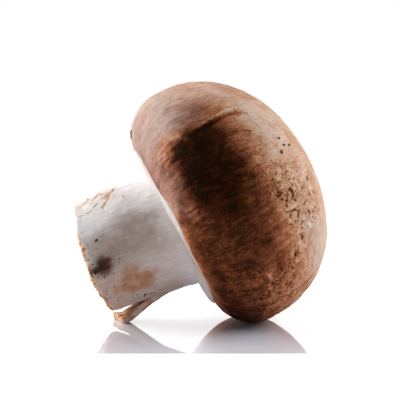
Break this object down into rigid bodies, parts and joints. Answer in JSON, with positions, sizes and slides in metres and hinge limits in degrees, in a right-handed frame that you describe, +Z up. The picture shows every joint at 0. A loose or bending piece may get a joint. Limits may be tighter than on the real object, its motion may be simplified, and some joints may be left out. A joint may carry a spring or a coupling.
{
  "type": "portobello mushroom",
  "caption": "Closed-cap brown portobello mushroom, picked and trimmed, lying on its side on the edge of its cap and a peeled flap of stem skin, with peat crumbs on it.",
  "frame": {"origin": "on the table, below the middle of the lying mushroom's bounding box", "axes": "+Z up from the table; +X along the lying mushroom from the cut stem end towards the dome of the cap; +Y away from the front side, which has the dark patch and the peat crumbs"},
  "size_m": [0.0602, 0.0598, 0.0571],
  "materials": {
    "cap_skin": "satin",
    "veil_tissue": "matte",
    "stem_flesh": "matte",
    "peat": "matte"
  },
  "bodies": {
    "root": {"cap": "cap_skin", "veil": "veil_tissue", "stem": "stem_flesh", "peat_flake_cap_edge": "peat", "peat_crumb_cap_1": "peat", "peat_crumb_cap_2": "peat", "peat_crumb_cap_3": "peat", "peat_crumb_cap_4": "peat", "peat_lump_stem": "peat", "peat_crumb_stem_1": "peat", "peat_crumb_stem_2": "peat"}
  },
  "joints": []
}
